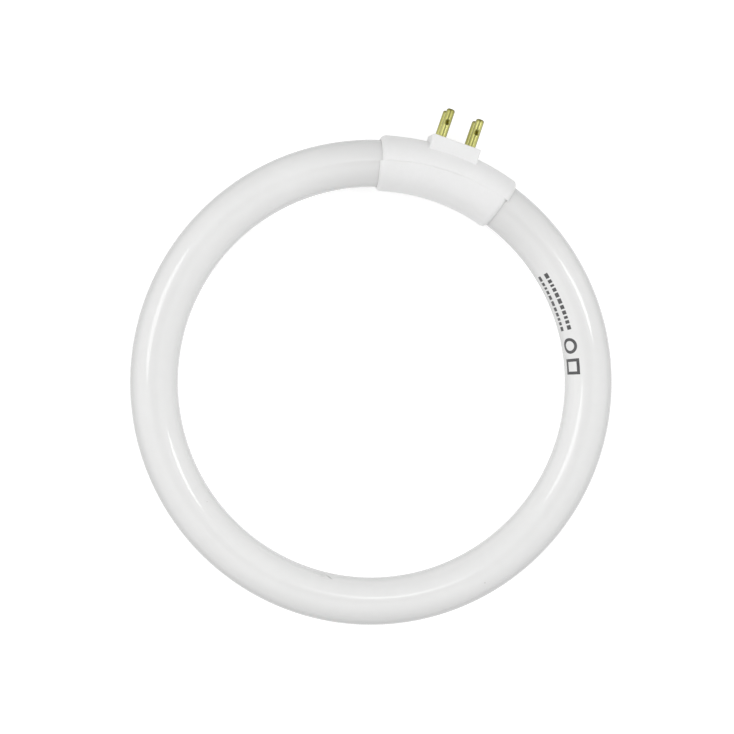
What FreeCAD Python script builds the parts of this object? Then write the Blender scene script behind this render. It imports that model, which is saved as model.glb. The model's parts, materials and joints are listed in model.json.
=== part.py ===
"""Circular fluorescent tube with a two-part moulded cap and four crimped pins.

The ring lies flat: its axis is +Z, its centre is the origin, and the cap with its
pins points along +Y. All lengths are in millimetres and all angles in degrees.
"""

import FreeCAD
import Part
import math
import os
import Sketcher

SIZES = {
    # Glass ring, measured at its centre-line
    "ring_diameter": 111.0,
    "tube_diameter": 12.0,
    "tube_wall": 0.9,
    "tube_end_gap": 16.0,
    "tube_end_wall": 2.5,
    "tube_end_round": 1.8,
    "exhaust_diameter": 2.6,
    "exhaust_length": 3.2,
    # Cap: two moulded half-shells round the ends of the tube
    "cap_span": 34.9,
    "cap_wall": 1.05,
    "cap_offset": 0.12,
    "cap_clearance": 0.1,
    "cap_end_round": 1.4,
    "seam_offset": 0.8,
    "seam_aside": 1.4,
    "seam_bevel": 0.18,
    "lip_inset": 4.2,
    "lip_end_play": 1.0,
    "lip_height": 0.8,
    "lip_thickness": 0.45,
    "lip_clearance": 0.05,
    "shell_shift": 0.62,
    # Pedestal that carries the pins, on the outer half-shell
    "pedestal_length": 12.9,
    "pedestal_depth": 10.3,
    "pedestal_rise": 1.55,
    "pedestal_root": 4.5,
    "pedestal_corner": 0.5,
    "pedestal_edge": 0.3,
    "pin_seat_wall": 2.0,
    # Contact pins, riveted in the pedestal and crimped on the lead wires
    "pin_pitch_x": 7.92,
    "pin_pitch_z": 6.35,
    "pin_diameter": 2.1,
    "pin_length": 7.45,
    "pin_tip_round": 0.55,
    "pin_neck_diameter": 1.5,
    "pin_neck_clearance": 0.02,
    "pin_flange_diameter": 2.6,
    "pin_flange_thickness": 0.4,
    "pin_flange_clearance": 0.15,
    "pin_bore_diameter": 0.7,
    "pin_bore_top": 3.2,
    "crimp_height": 3.9,
    "crimp_nose": 0.9,
    "crimp_depth": 0.45,
    # Lead wires from the sealed tube ends to the pins
    "wire_diameter": 0.5,
    "wire_bend": 1.5,
    "wire_end_gap": 0.2,
}

SIDES = {"left": -1, "right": 1}
ROWS = {"front": 1, "rear": -1}

# Expressions shared by several features, all read from the sheet
RING_RADIUS = "sizes.ring_diameter / 2"
END_ANGLE = "sizes.tube_end_gap / sizes.ring_diameter * 180 / pi"
END_WALL_ANGLE = "sizes.tube_end_wall / sizes.ring_diameter * 360 / pi"
CAP_CENTRE = "sizes.ring_diameter / 2 + sizes.cap_offset"
CAP_RADIUS = "(sizes.tube_diameter / 2 + sizes.cap_clearance + sizes.cap_wall)"
LIP_SPAN = "sizes.cap_span - 2 * sizes.lip_inset"
SEAM_RADIUS = "sizes.ring_diameter / 2 + sizes.seam_offset"
CAP_CREST = f"{CAP_CENTRE} + {CAP_RADIUS}"
PIN_FACE = f"{CAP_CREST} + sizes.pedestal_rise"
WIRE_TOP = f"{PIN_FACE} + sizes.pin_bore_top - sizes.wire_end_gap"
SEAM_FLANK = f"sqrt({CAP_RADIUS}^2 - (sizes.seam_offset - sizes.cap_offset)^2) - sizes.seam_bevel"
BEVEL_REACH = "sizes.seam_bevel + sizes.cap_wall"
BORE_DIAMETER = "sizes.tube_diameter + 2 * sizes.cap_clearance"
LIP_HALF_WIDTH = "sizes.tube_diameter / 2 + sizes.cap_clearance + sizes.lip_thickness"
FAILED_STATES = ("Invalid", "Error")
NEAR = 1e-4
FULL_TURN = 360.0
HALF_TURN = 180.0
QUARTER_TURN = 90.0
UP = FreeCAD.Vector(0, 0, 1)


def make_sheet(doc):
    """Write every driving size to a spreadsheet cell that has its name as alias."""
    sheet = doc.addObject("Spreadsheet::Sheet", "sizes")
    for row, (alias, value) in enumerate(SIZES.items(), start=1):
        sheet.set(f"A{row}", alias)
        sheet.set(f"B{row}", str(value))
        sheet.setAlias(f"B{row}", alias)
    doc.recompute()
    return sheet


def make_body(doc, label):
    """Return an empty body whose label names its node."""
    body = doc.addObject("PartDesign::Body", label)
    body.Label = label
    return body


def origin_plane(body, role):
    """Return one of the body's own origin planes, such as XY_Plane."""
    return next(item for item in body.Origin.OriginFeatures if item.Role == role)


def make_sketch(body, name, role):
    """Return an empty sketch on one of the body's origin planes."""
    sketch = body.newObject("Sketcher::SketchObject", name)
    sketch.AttachmentSupport = (origin_plane(body, role), [""])
    sketch.MapMode = "FlatFace"
    return sketch


def bind(sketch, kind, elements, name, expression):
    """Add a dimension to the sketch and tie it to an expression on the sheet."""
    value = sketch.evalExpression(expression)
    index = sketch.addConstraint(Sketcher.Constraint(kind, *elements, float(value)))
    sketch.renameConstraint(index, name)
    sketch.setExpression(f"Constraints.{name}", expression)


def span_from_origin(sign, element, point):
    """Return the two points of a distance from the origin, in the order that keeps it positive."""
    return (-1, 1, element, point) if sign > 0 else (element, point, -1, 1)


def bind_place(sketch, circle, x_sign, z_sign, name):
    """Tie a circle's centre to one corner of the pin pattern."""
    bind(sketch, "DistanceX", span_from_origin(x_sign, circle, 3), f"{name}_x", "sizes.pin_pitch_x / 2")
    bind(sketch, "DistanceY", span_from_origin(z_sign, circle, 3), f"{name}_z", "sizes.pin_pitch_z / 2")


def vector(x, y):
    """Return a point of a sketch plane."""
    return FreeCAD.Vector(x, y, 0)


def add_circle(sketch, side, distance, diameter):
    """Draw a circle on the sketch's horizontal axis, on one side of the vertical axis."""
    centre = side * float(sketch.evalExpression(distance))
    radius = float(sketch.evalExpression(diameter)) / 2
    circle = sketch.addGeometry(Part.Circle(vector(centre, 0), UP, radius))
    sketch.addConstraint(Sketcher.Constraint("PointOnObject", circle, 3, -1))
    bind(sketch, "DistanceX", span_from_origin(side, circle, 3), "centre", distance)
    bind(sketch, "Diameter", (circle,), "diameter", diameter)


def add_outline(sketch, points):
    """Draw a closed outline through the points, whose level and upright lines stay so."""
    lines = []
    for start, end in zip(points, points[1:] + points[:1]):
        line = sketch.addGeometry(Part.LineSegment(vector(*start), vector(*end)))
        if abs(start[1] - end[1]) < NEAR:
            sketch.addConstraint(Sketcher.Constraint("Horizontal", line))
        elif abs(start[0] - end[0]) < NEAR:
            sketch.addConstraint(Sketcher.Constraint("Vertical", line))
        lines.append(line)
    for line, after in zip(lines, lines[1:] + lines[:1]):
        sketch.addConstraint(Sketcher.Constraint("Coincident", line, 2, after, 1))
    return lines


def revolve(body, kind, name, sketch, angle, axis="V_Axis"):
    """Turn a section about an axis of its sketch, evenly to both sides of its plane."""
    feature = body.newObject(kind, name)
    feature.Profile = sketch
    feature.ReferenceAxis = (sketch, [axis])
    feature.Midplane = True
    feature.setExpression("Angle", angle)
    body.Document.recompute()
    return feature


def edge_names(feature, wanted):
    """Return the names of the feature's edges that the test picks."""
    names = [f"Edge{n}" for n, edge in enumerate(feature.Shape.Edges, start=1) if wanted(edge)]
    if not names:
        raise RuntimeError(f"{feature.Name} has no edge of the kind asked for")
    return names


def dress(body, kind, name, wanted, size, expression):
    """Round or bevel the edges of the body's last feature that the test picks."""
    base = body.Tip
    feature = body.newObject(kind, name)
    feature.Base = (base, edge_names(base, wanted))
    feature.setExpression(size, expression)
    body.Document.recompute()
    return feature


def is_circle(edge, radius, upright):
    """Tell whether an edge is an arc of this radius, about an axis along Z or not."""
    curve = edge.Curve
    if not isinstance(curve, Part.Circle):
        return False
    along_z = abs(abs(curve.Axis.z) - 1) < NEAR
    return abs(curve.Radius - radius) < NEAR and along_z == upright


def make_glass_tube(doc, value):
    """Bend the sealed glass tube into an open ring, with an exhaust tip at each end."""
    body = make_body(doc, "glass_tube")
    section = make_sketch(body, "tube_section", "YZ_Plane")
    add_circle(section, -1, RING_RADIUS, "sizes.tube_diameter")
    revolve(body, "PartDesign::Revolution", "bent_tube", section, f"360 - 2 * {END_ANGLE}")
    tube_radius = value("tube_diameter") / 2
    dress(body, "PartDesign::Fillet", "sealed_ends", lambda edge: is_circle(edge, tube_radius, False),
          "Radius", "sizes.tube_end_round")
    add_exhaust_tips(body, value)
    hollow = make_sketch(body, "hollow_section", "YZ_Plane")
    add_circle(hollow, -1, RING_RADIUS, "sizes.tube_diameter - 2 * sizes.tube_wall")
    revolve(body, "PartDesign::Groove", "hollow", hollow, f"360 - 2 * {END_ANGLE} - 2 * {END_WALL_ANGLE}")
    return body


def add_exhaust_tips(body, value):
    """Add the tipped-off exhaust stub in the middle of each sealed end."""
    sketch = make_sketch(body, "exhaust_section", "XY_Plane")
    sketch.setExpression("AttachmentOffset.Rotation.Angle", f"-({END_ANGLE})")
    radius = value("exhaust_diameter") / 2
    centre = value("ring_diameter") / 2
    tip = -value("exhaust_length")
    root = value("tube_end_wall") / 2
    axis = sketch.addGeometry(Part.LineSegment(vector(root, centre), vector(tip, centre)), True)
    edge = centre + radius
    side = sketch.addGeometry(Part.LineSegment(vector(root, edge), vector(tip + radius, edge)))
    foot = sketch.addGeometry(Part.LineSegment(vector(root, centre), vector(root, edge)))
    base = sketch.addGeometry(Part.LineSegment(vector(tip, centre), vector(root, centre)))
    dome = sketch.addGeometry(Part.ArcOfCircle(
        Part.Circle(vector(tip + radius, centre), UP, radius), math.pi / 2, math.pi))
    for first, second in (((base, 2), (foot, 1)), ((foot, 2), (side, 1)), ((side, 2), (dome, 1)),
                          ((dome, 2), (base, 1)), ((axis, 1), (base, 2)), ((axis, 2), (base, 1))):
        sketch.addConstraint(Sketcher.Constraint("Coincident", *first, *second))
    sketch.addConstraint(Sketcher.Constraint("Horizontal", base))
    sketch.addConstraint(Sketcher.Constraint("Horizontal", side))
    sketch.addConstraint(Sketcher.Constraint("Vertical", foot))
    sketch.addConstraint(Sketcher.Constraint("PointOnObject", dome, 3, base))
    bind(sketch, "DistanceY", (-1, 1, base, 1), "centre_line", RING_RADIUS)
    bind(sketch, "DistanceY", (foot, 1, foot, 2), "radius", "sizes.exhaust_diameter / 2")
    bind(sketch, "DistanceX", (base, 1, -1, 1), "length", "sizes.exhaust_length")
    bind(sketch, "DistanceX", (-1, 1, base, 2), "root", "sizes.tube_end_wall / 2")
    stub = revolve(body, "PartDesign::Revolution", "exhaust_tip", sketch, str(FULL_TURN), "Axis0")
    mirrored = body.newObject("PartDesign::Mirrored", "exhaust_tips")
    mirrored.Originals = [stub]
    mirrored.MirrorPlane = (origin_plane(body, "YZ_Plane"), [""])
    body.Tip = mirrored
    body.Document.recompute()


def add_cap_half(body, side):
    """Turn the cap's round section and keep one half: side 1 outside the seam, -1 inside it.

    The section is drawn from the side that is cut away, so the closing line of the round
    faces goes with it. The inner half sits turned on the tube by the misfit between the two.
    """
    section = make_sketch(body, "cap_section", "YZ_Plane")
    turn_upright_sketch(section, str(HALF_TURN) if side > 0 else "sizes.shell_shift")
    add_circle(section, -side, CAP_CENTRE, f"2 * {CAP_RADIUS}")
    revolve(body, "PartDesign::Revolution", "round_cap", section, "sizes.cap_span")
    radius = float(section.evalExpression(CAP_RADIUS))
    dress(body, "PartDesign::Fillet", "rounded_ends", lambda edge: is_circle(edge, radius, False),
          "Radius", "sizes.cap_end_round")
    cut_along_seam(body, side)


def turn_upright_sketch(sketch, angle):
    """Turn an upright sketch about the ring's axis by an angle from the sheet."""
    start = FreeCAD.Rotation(FreeCAD.Vector(0, 1, 0), float(sketch.evalExpression(angle)))
    sketch.AttachmentOffset = FreeCAD.Placement(FreeCAD.Vector(0, 0, 0), start)
    sketch.setExpression("AttachmentOffset.Rotation.Angle", angle)


def make_seam_sketch(body, name):
    """Return an upright sketch on the seam's own axis, which lies aside of the ring's."""
    sketch = make_sketch(body, name, "YZ_Plane")
    sketch.setExpression("AttachmentOffset.Base.z", "sizes.seam_aside")
    return sketch


def cut_along_seam(body, side):
    """Cut the other half off the cap, with a bevel along the seam's two outer edges."""
    sketch = make_seam_sketch(body, "seam_section")
    far_edge = f"{RING_RADIUS} - {side} * sizes.tube_diameter"
    seam, far, flank, reach = (
        float(sketch.evalExpression(text)) for text in (SEAM_RADIUS, far_edge, SEAM_FLANK, BEVEL_REACH))
    above = [(seam, flank), (seam + side * reach, flank + reach), (far, flank + reach)]
    below = [(x, -y) for x, y in reversed(above)]
    upper_bevel, upper_edge, _, _, lower_bevel, seam_line = add_outline(sketch, above + below)
    bind(sketch, "DistanceX", (-1, 1, seam_line, 1), "seam", SEAM_RADIUS)
    bind(sketch, "DistanceX", (-1, 1, upper_edge, 2), "far_edge", far_edge)
    bind(sketch, "DistanceY", (-1, 1, seam_line, 2), "upper_flank", SEAM_FLANK)
    bind(sketch, "DistanceY", (seam_line, 1, -1, 1), "lower_flank", SEAM_FLANK)
    for name, near, tip in (("upper", (upper_bevel, 1), (upper_bevel, 2)),
                            ("lower", (lower_bevel, 2), (lower_bevel, 1))):
        outwards = (*near, *tip) if side > 0 else (*tip, *near)
        upwards = (*near, *tip) if name == "upper" else (*tip, *near)
        bind(sketch, "DistanceX", outwards, f"{name}_reach", BEVEL_REACH)
        bind(sketch, "DistanceY", upwards, f"{name}_rise", BEVEL_REACH)
    revolve(body, "PartDesign::Groove", "seam_cut", sketch, str(FULL_TURN))


def add_ring_band(body, kind, name, low, high, half_width, angle):
    """Turn a level band of the section, between two radii, as material or as a cut."""
    sketch = make_seam_sketch(body, f"{name}_section")
    inner, outer, width = (float(sketch.evalExpression(text)) for text in (low, high, half_width))
    bottom, right, top, left = add_outline(
        sketch, [(inner, -width), (outer, -width), (outer, width), (inner, width)])
    bind(sketch, "DistanceX", (-1, 1, left, 1), "low", low)
    bind(sketch, "DistanceX", (-1, 1, right, 1), "high", high)
    bind(sketch, "DistanceY", (bottom, 1, -1, 1), "below", half_width)
    bind(sketch, "DistanceY", (-1, 1, top, 1), "above", half_width)
    return revolve(body, kind, name, sketch, angle)


def cut_cap_bore(body):
    """Cut the round way for the tube, concentric with the glass."""
    sketch = make_sketch(body, "bore_section", "YZ_Plane")
    add_circle(sketch, 1, RING_RADIUS, BORE_DIAMETER)
    revolve(body, "PartDesign::Groove", "tube_bore", sketch, str(FULL_TURN))


def make_outer_shell(doc, value):
    """Mould the cap's outer half, with the pedestal and its four pin seats."""
    body = make_body(doc, "cap_outer_shell")
    add_cap_half(body, 1)
    add_pedestal(body)
    cut_cap_bore(body)
    add_ring_band(body, "PartDesign::Groove", "lip_recess", f"{SEAM_RADIUS} - sizes.lip_height",
                  f"{SEAM_RADIUS} + sizes.lip_height + sizes.lip_clearance",
                  f"{LIP_HALF_WIDTH} + sizes.lip_clearance", f"{LIP_SPAN} + 2 * sizes.lip_end_play")
    cut_pin_holes(body, value, "neck_holes", PIN_FACE,
                  "sizes.pin_neck_diameter + 2 * sizes.pin_neck_clearance", "sizes.pin_seat_wall")
    cut_pin_holes(body, value, "flange_seats", f"{PIN_FACE} - sizes.pin_seat_wall",
                  "sizes.pin_flange_diameter + 2 * sizes.pin_flange_clearance", "sizes.pedestal_root")
    return body


def make_inner_shell(doc):
    """Mould the cap's inner half, with the lip that enters the outer half."""
    body = make_body(doc, "cap_inner_shell")
    add_cap_half(body, -1)
    add_ring_band(body, "PartDesign::Revolution", "lip", f"{SEAM_RADIUS} - sizes.lip_height",
                  f"{SEAM_RADIUS} + sizes.lip_height", LIP_HALF_WIDTH, LIP_SPAN)
    cut_cap_bore(body)
    return body


def level_sketch(body, name, distance):
    """Return a sketch across the pins, at a distance from the ring's axis along +Y."""
    sketch = make_sketch(body, name, "XZ_Plane")
    sketch.setExpression("AttachmentOffset.Base.z", f"-({distance})")
    return sketch


def add_rounded_outline(sketch, length, depth, corner):
    """Draw a rectangle with round corners, centred on the sketch's origin."""
    x, z, radius = (
        float(sketch.evalExpression(text)) for text in (f"{length} / 2", f"{depth} / 2", corner))
    lines, arcs = [], []
    for turn in range(4):
        along, across = ((x, z), (z, x))[turn % 2]
        quarter = FreeCAD.Rotation(UP, QUARTER_TURN * turn)
        start, end = vector(radius - along, -across), vector(along - radius, -across)
        centre = quarter.multVec(vector(along - radius, radius - across))
        lines.append(sketch.addGeometry(Part.LineSegment(quarter.multVec(start), quarter.multVec(end))))
        begin = math.radians(QUARTER_TURN * (turn - 1))
        arcs.append(sketch.addGeometry(
            Part.ArcOfCircle(Part.Circle(centre, UP, radius), begin, begin + math.radians(QUARTER_TURN))))
    for turn, (line, arc) in enumerate(zip(lines, arcs)):
        sketch.addConstraint(Sketcher.Constraint("Vertical" if turn % 2 else "Horizontal", line))
        sketch.addConstraint(Sketcher.Constraint("Tangent", line, 2, arc, 1))
        sketch.addConstraint(Sketcher.Constraint("Tangent", arc, 2, lines[(turn + 1) % 4], 1))
        if turn:
            sketch.addConstraint(Sketcher.Constraint("Equal", arcs[0], arc))
    bottom, right, top, left = lines
    sketch.addConstraint(Sketcher.Constraint("Symmetric", bottom, 1, top, 1, -1, 1))
    bind(sketch, "DistanceX", (left, 1, right, 1), "length", length)
    bind(sketch, "DistanceY", (bottom, 1, top, 1), "depth", depth)
    bind(sketch, "Radius", (arcs[0],), "corner", corner)


def add_pedestal(body):
    """Pad the block that carries the pins, with rounded corners and a softened rim."""
    sketch = level_sketch(body, "pedestal_outline", PIN_FACE)
    add_rounded_outline(sketch, "sizes.pedestal_length", "sizes.pedestal_depth", "sizes.pedestal_corner")
    pad = body.newObject("PartDesign::Pad", "pedestal")
    pad.Profile = sketch
    pad.setExpression("Length", "sizes.pedestal_rise + sizes.pedestal_root")
    body.Document.recompute()
    face = float(sketch.evalExpression(PIN_FACE))
    dress(body, "PartDesign::Fillet", "pedestal_rim", lambda edge: lies_at(edge, face),
          "Radius", "sizes.pedestal_edge")


def lies_at(edge, distance):
    """Tell whether an edge lies wholly at a distance along +Y."""
    box = edge.BoundBox
    return abs(box.YMin - distance) < NEAR and abs(box.YMax - distance) < NEAR


def cut_pin_holes(body, value, name, level, diameter, depth):
    """Cut four round pockets on the pin pattern, from a level towards the ring's axis."""
    sketch = level_sketch(body, f"{name}_pattern", level)
    radius = float(sketch.evalExpression(diameter)) / 2
    for row, z_sign in ROWS.items():
        for side, x_sign in SIDES.items():
            x, z = x_sign * value("pin_pitch_x") / 2, z_sign * value("pin_pitch_z") / 2
            hole = sketch.addGeometry(Part.Circle(vector(x, z), UP, radius))
            bind_place(sketch, hole, x_sign, z_sign, f"{row}_{side}")
            bind(sketch, "Diameter", (hole,), f"{row}_{side}_diameter", diameter)
    before = body.Shape.Volume
    pocket = body.newObject("PartDesign::Pocket", name)
    pocket.Profile = sketch
    pocket.Reversed = True
    pocket.setExpression("Length", depth)
    body.Document.recompute()
    if not body.Shape.Volume < before - NEAR:
        raise RuntimeError(f"{name} cut nothing")


def make_pin(doc, value, row, side):
    """Turn one pin: tip, shank, riveted neck and flange, blind bore and crimp mark."""
    body = make_body(doc, f"pin_{row}_{side}")
    sketch = make_sketch(body, "pin_section", "XZ_Plane")
    shank, neck = value("pin_diameter") / 2, value("pin_neck_diameter") / 2
    flange, bore = value("pin_flange_diameter") / 2, value("pin_bore_diameter") / 2
    seat = -value("pin_seat_wall")
    foot = seat - value("pin_flange_thickness")
    tip, bore_top = value("pin_length"), value("pin_bore_top")
    lines = add_outline(sketch, [
        (bore, foot), (flange, foot), (flange, seat), (neck, seat), (neck, 0),
        (shank, 0), (shank, tip), (0, tip), (0, bore_top), (bore, bore_top)])
    under, rim, seat_line, neck_line, shoulder, wall, end, core, bore_end, bore_wall = lines
    sketch.addConstraint(Sketcher.Constraint("PointOnObject", core, 1, -2))
    sketch.addConstraint(Sketcher.Constraint("PointOnObject", shoulder, 1, -1))
    bind(sketch, "DistanceX", (-1, 1, wall, 1), "shank", "sizes.pin_diameter / 2")
    bind(sketch, "DistanceX", (-1, 1, neck_line, 1), "neck", "sizes.pin_neck_diameter / 2")
    bind(sketch, "DistanceX", (-1, 1, rim, 1), "flange", "sizes.pin_flange_diameter / 2")
    bind(sketch, "DistanceX", (-1, 1, bore_wall, 1), "bore", "sizes.pin_bore_diameter / 2")
    bind(sketch, "DistanceY", (neck_line, 1, neck_line, 2), "seat", "sizes.pin_seat_wall")
    bind(sketch, "DistanceY", (rim, 1, rim, 2), "rivet", "sizes.pin_flange_thickness")
    bind(sketch, "DistanceY", (-1, 1, core, 1), "tip", "sizes.pin_length")
    bind(sketch, "DistanceY", (-1, 1, core, 2), "bore_top", "sizes.pin_bore_top")
    revolve(body, "PartDesign::Revolution", "turned_pin", sketch, str(FULL_TURN))
    dress(body, "PartDesign::Fillet", "pin_tip", lambda edge: is_circle(edge, shank, True)
          and abs(edge.Curve.Center.z - tip) < NEAR, "Radius", "sizes.pin_tip_round")
    add_crimp(body, value)
    place_pin(body, SIDES[side], ROWS[row])
    return body


def add_crimp(body, value):
    """Press the round-nosed crimp mark into the pin's shank."""
    sketch = make_sketch(body, "crimp_section", "XZ_Plane")
    sketch.setExpression(
        "AttachmentOffset.Base.x", "sizes.pin_diameter / 2 + sizes.crimp_nose - sizes.crimp_depth")
    sketch.setExpression("AttachmentOffset.Base.y", "sizes.crimp_height")
    nose = value("crimp_nose")
    arc = sketch.addGeometry(Part.ArcOfCircle(
        Part.Circle(vector(0, 0), UP, nose), math.pi / 2, 3 * math.pi / 2))
    chord = sketch.addGeometry(Part.LineSegment(vector(0, -nose), vector(0, nose)))
    sketch.addConstraint(Sketcher.Constraint("Coincident", arc, 2, chord, 1))
    sketch.addConstraint(Sketcher.Constraint("Coincident", chord, 2, arc, 1))
    sketch.addConstraint(Sketcher.Constraint("Vertical", chord))
    sketch.addConstraint(Sketcher.Constraint("Coincident", arc, 3, -1, 1))
    sketch.addConstraint(Sketcher.Constraint("PointOnObject", arc, 1, -2))
    bind(sketch, "Radius", (arc,), "nose", "sizes.crimp_nose")
    before = body.Shape.Volume
    revolve(body, "PartDesign::Groove", "crimp_mark", sketch, str(FULL_TURN))
    if not body.Shape.Volume < before - NEAR:
        raise RuntimeError("the crimp mark cut nothing")


def place_pin(body, x_sign, z_sign):
    """Stand the pin on the pedestal, pointing along +Y, with its crimp facing outwards."""
    turn = FreeCAD.Rotation(
        FreeCAD.Vector(0, 0, z_sign), FreeCAD.Vector(z_sign, 0, 0), FreeCAD.Vector(0, 1, 0), "XYZ")
    body.Placement = FreeCAD.Placement(FreeCAD.Vector(0, 0, 0), turn)
    body.setExpression("Placement.Base.x", f"{x_sign} * sizes.pin_pitch_x / 2")
    body.setExpression("Placement.Base.y", PIN_FACE)
    body.setExpression("Placement.Base.z", f"{z_sign} * sizes.pin_pitch_z / 2")


def make_lead_wire(doc, value, row, side):
    """Sweep one lead wire from the sealed tube end, round a bend and up into its pin."""
    body = make_body(doc, f"lead_wire_{row}_{side}")
    path = add_wire_path(body, value, SIDES[side], ROWS[row])
    profile = level_sketch(body, "wire_section", WIRE_TOP)
    x, z = SIDES[side] * value("pin_pitch_x") / 2, ROWS[row] * value("pin_pitch_z") / 2
    circle = profile.addGeometry(Part.Circle(vector(x, z), UP, value("wire_diameter") / 2))
    bind_place(profile, circle, SIDES[side], ROWS[row], "wire")
    bind(profile, "Diameter", (circle,), "diameter", "sizes.wire_diameter")
    wire = body.newObject("PartDesign::AdditivePipe", "wire")
    wire.Profile = profile
    wire.Spine = (path, ["Edge1", "Edge2", "Edge3"])
    body.Document.recompute()
    return body


def add_wire_path(body, value, x_sign, z_sign):
    """Draw a wire's route: square off the tube end, one bend, then along the pin."""
    path = make_sketch(body, "wire_path", "XY_Plane")
    path.setExpression("AttachmentOffset.Base.z", f"{z_sign} * sizes.pin_pitch_z / 2")
    angle = math.radians(float(path.evalExpression(END_ANGLE)))
    radius, bend, pin_x = value("ring_diameter") / 2, value("wire_bend"), value("pin_pitch_x") / 2
    start = (radius * math.sin(angle), radius * math.cos(angle))
    corner = start[1] + (start[0] - pin_x) * math.tan(angle)
    half_turn = (math.pi / 2 - angle) / 2
    reach = bend * math.tan(half_turn)
    leave = (pin_x + reach * math.cos(angle), corner - reach * math.sin(angle))
    rise = (pin_x, corner + reach)
    middle = (pin_x + bend * (1 - math.cos(half_turn)), rise[1] - bend * math.sin(half_turn))
    top = (pin_x, float(path.evalExpression(WIRE_TOP)))
    start, leave, middle, rise, top = (vector(x_sign * x, y) for x, y in (start, leave, middle, rise, top))
    run = path.addGeometry(Part.LineSegment(start, leave))
    turn = path.addGeometry(Part.ArcOfCircle(leave, middle, rise))
    up = path.addGeometry(Part.LineSegment(rise, top))
    spoke = path.addGeometry(Part.LineSegment(vector(0, 0), start), True)
    turn_start, turn_end = (2, 1) if x_sign > 0 else (1, 2)
    path.addConstraint(Sketcher.Constraint("Coincident", spoke, 1, -1, 1))
    path.addConstraint(Sketcher.Constraint("Coincident", spoke, 2, run, 1))
    path.addConstraint(Sketcher.Constraint("Perpendicular", spoke, run))
    path.addConstraint(Sketcher.Constraint("Tangent", run, 2, turn, turn_start))
    path.addConstraint(Sketcher.Constraint("Tangent", turn, turn_end, up, 1))
    path.addConstraint(Sketcher.Constraint("Vertical", up))
    bind(path, "DistanceX", span_from_origin(x_sign, run, 1), "start_x",
         f"{RING_RADIUS} * sin({END_ANGLE})")
    bind(path, "DistanceY", (-1, 1, run, 1), "start_y", f"{RING_RADIUS} * cos({END_ANGLE})")
    bind(path, "Radius", (turn,), "bend", "sizes.wire_bend")
    bind(path, "DistanceX", span_from_origin(x_sign, up, 2), "pin_x", "sizes.pin_pitch_x / 2")
    bind(path, "DistanceY", (-1, 1, up, 2), "top", WIRE_TOP)
    return path


def check_document(doc, bodies):
    """Stop if any object failed or any sub-part is not one sound solid."""
    for item in doc.Objects:
        if any(state in item.State for state in FAILED_STATES):
            raise RuntimeError(f"{item.Label} failed: {item.State}")
    for body in bodies:
        shape = body.Shape
        if shape.isNull() or not shape.isValid() or len(shape.Solids) != 1:
            raise RuntimeError(f"{body.Label} is not one sound solid")


def main():
    """Build the document, check it and write one file for each sub-part."""
    doc = FreeCAD.newDocument("circular_fluorescent_tube")
    sheet = make_sheet(doc)

    def value(alias):
        return float(sheet.get(alias))

    bodies = [make_glass_tube(doc, value), make_outer_shell(doc, value), make_inner_shell(doc)]
    for row in ROWS:
        for side in SIDES:
            bodies.append(make_pin(doc, value, row, side))
            bodies.append(make_lead_wire(doc, value, row, side))
    doc.recompute()
    check_document(doc, bodies)
    os.makedirs("parts", exist_ok=True)
    for body in bodies:
        body.Shape.exportStep(f"parts/{body.Label}.step")
        print(f"{body.Label}: {body.Shape.Volume:.1f} mm3")


main()
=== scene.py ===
"""Circular fluorescent tube on a pale studio floor, dressed on its CAD frame.

The ring lies flat: its axis is +Z, its centre is the origin, and the cap with its four
pins points along +Y. Lengths are in metres, and angles in degrees.
"""

from __future__ import annotations

import json
import logging
from abc import ABC, abstractmethod
from dataclasses import dataclass
from enum import Enum
from math import copysign, cos, degrees, pi, radians, sin, sqrt, tan
from typing import Any

import bmesh
import bpy
from mathutils import Matrix, Vector

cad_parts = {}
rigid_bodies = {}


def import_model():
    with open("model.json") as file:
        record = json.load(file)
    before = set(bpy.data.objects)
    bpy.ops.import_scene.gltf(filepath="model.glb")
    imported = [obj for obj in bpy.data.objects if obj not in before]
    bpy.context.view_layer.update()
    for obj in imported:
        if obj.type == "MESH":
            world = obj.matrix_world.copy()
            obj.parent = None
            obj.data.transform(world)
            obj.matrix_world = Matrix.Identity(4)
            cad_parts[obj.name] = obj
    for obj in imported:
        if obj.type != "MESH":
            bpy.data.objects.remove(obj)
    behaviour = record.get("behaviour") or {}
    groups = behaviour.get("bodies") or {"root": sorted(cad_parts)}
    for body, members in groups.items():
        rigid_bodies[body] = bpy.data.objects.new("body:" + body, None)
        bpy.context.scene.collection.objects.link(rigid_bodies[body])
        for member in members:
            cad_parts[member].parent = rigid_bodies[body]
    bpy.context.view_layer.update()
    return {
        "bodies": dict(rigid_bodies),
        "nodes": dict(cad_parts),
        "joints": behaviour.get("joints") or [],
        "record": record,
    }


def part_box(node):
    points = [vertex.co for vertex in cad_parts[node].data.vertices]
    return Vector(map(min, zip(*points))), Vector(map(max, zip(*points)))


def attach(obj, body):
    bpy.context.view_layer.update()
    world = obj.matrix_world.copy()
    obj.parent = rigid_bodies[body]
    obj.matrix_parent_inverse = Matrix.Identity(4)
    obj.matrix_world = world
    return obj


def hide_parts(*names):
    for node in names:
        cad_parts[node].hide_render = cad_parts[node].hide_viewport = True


MM = 0.001
ROOT_BODY = "root"
WELD = 0.002 * MM
CREASE = 32.0
CAP_ANGLE = 90.0
FULL_TURN = 360.0
OPEN_SPREAD = 180.0
LOG = logging.getLogger("ring_lamp")

Colour = tuple[float, float, float, float]
Span = tuple[float, float]
Socket = bpy.types.NodeSocket
Sockets = dict[str, Socket]
Material = bpy.types.Material
Solid = bmesh.types.BMesh
UNIT: Span = (0.0, 1.0)


class Slot(Enum):
    """The record's material slots."""

    GLASS = "white_glass"
    PLASTIC = "white_plastic"
    BRASS = "brass"
    WIRE = "lead_wire"


class CapHalf(Enum):
    """The two mouldings of the cap, by their side of the seam."""

    OUTER = 1
    INNER = -1


class Joining(Enum):
    """How one solid is joined with another."""

    ADD = "UNION"
    CUT = "DIFFERENCE"


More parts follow.
